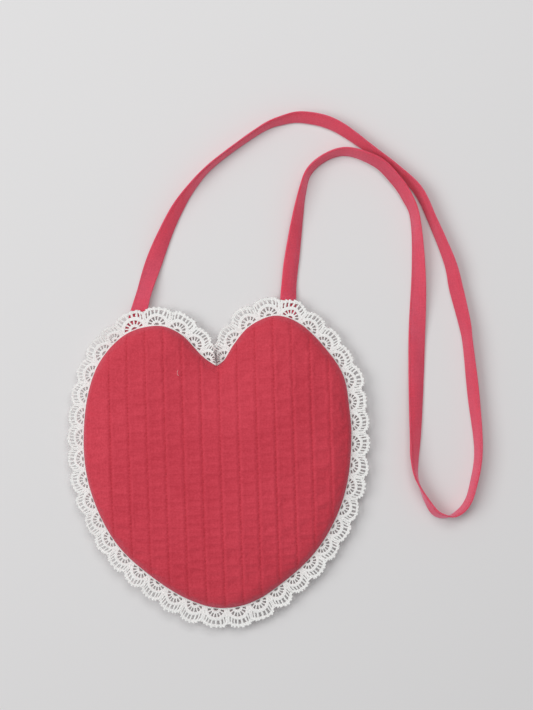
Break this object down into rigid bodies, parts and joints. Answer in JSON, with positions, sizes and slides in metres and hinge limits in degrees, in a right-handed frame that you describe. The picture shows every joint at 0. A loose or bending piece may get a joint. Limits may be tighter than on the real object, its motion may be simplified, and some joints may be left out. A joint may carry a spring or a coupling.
{
  "type": "heart shaped purse",
  "caption": "Heart shaped quilted fabric purse with a gathered lace edging, a long flat shoulder strap and a zip across its back.",
  "frame": {"origin": "under the middle of the heart, on the surface that the back rests on", "axes": "+Z out of the quilted front, +Y from the heart's tip towards its two lobes, +X towards the right lobe seen from the front"},
  "size_m": [0.254, 0.3133, 0.0201],
  "materials": {
    "red_cotton": "soft matt cotton, quilted",
    "wadding": "soft matt wadding",
    "lining_cotton": "plain matt cotton",
    "lace_cotton": "matt cotton lace",
    "zip_tape": "fine woven tape",
    "zip_brass": "satin",
    "strap_cotton": "soft matt cotton, topstitched"
  },
  "bodies": {
    "purse": {"front_shell": "red_cotton", "front_wadding": "wadding", "front_lining": "lining_cotton", "back_shell_upper": "red_cotton", "back_shell_lower": "red_cotton", "back_wadding_upper": "wadding", "back_wadding_lower": "wadding", "back_lining_upper": "lining_cotton", "back_lining_lower": "lining_cotton", "lace_trim": "lace_cotton", "zip_tape_upper": "zip_tape", "zip_tape_lower": "zip_tape", "zip_teeth_upper": "zip_brass", "zip_teeth_lower": "zip_brass", "zip_top_stops": "zip_brass", "zip_bottom_stop": "zip_brass", "strap_end_left": "strap_cotton", "strap_end_right": "strap_cotton", "strap": "strap_cotton"},
    "slider": {"zip_slider": "zip_brass"},
    "pull": {"zip_pull": "zip_brass"}
  },
  "joints": [
    {"name": "zip_slide", "type": "slide", "parent": "purse", "child": "slider", "axis": [-1, 0, 0], "range_m": [0, 0.111], "deforming": ["zip_teeth_upper", "zip_teeth_lower", "zip_tape_upper", "zip_tape_lower"]},
    {"name": "pull_hinge", "type": "hinge", "parent": "slider", "child": "pull", "pos_m": [0.057, 0.0402, 0.0015], "axis": [0, -1, 0], "range_deg": [0, 170]}
  ]
}
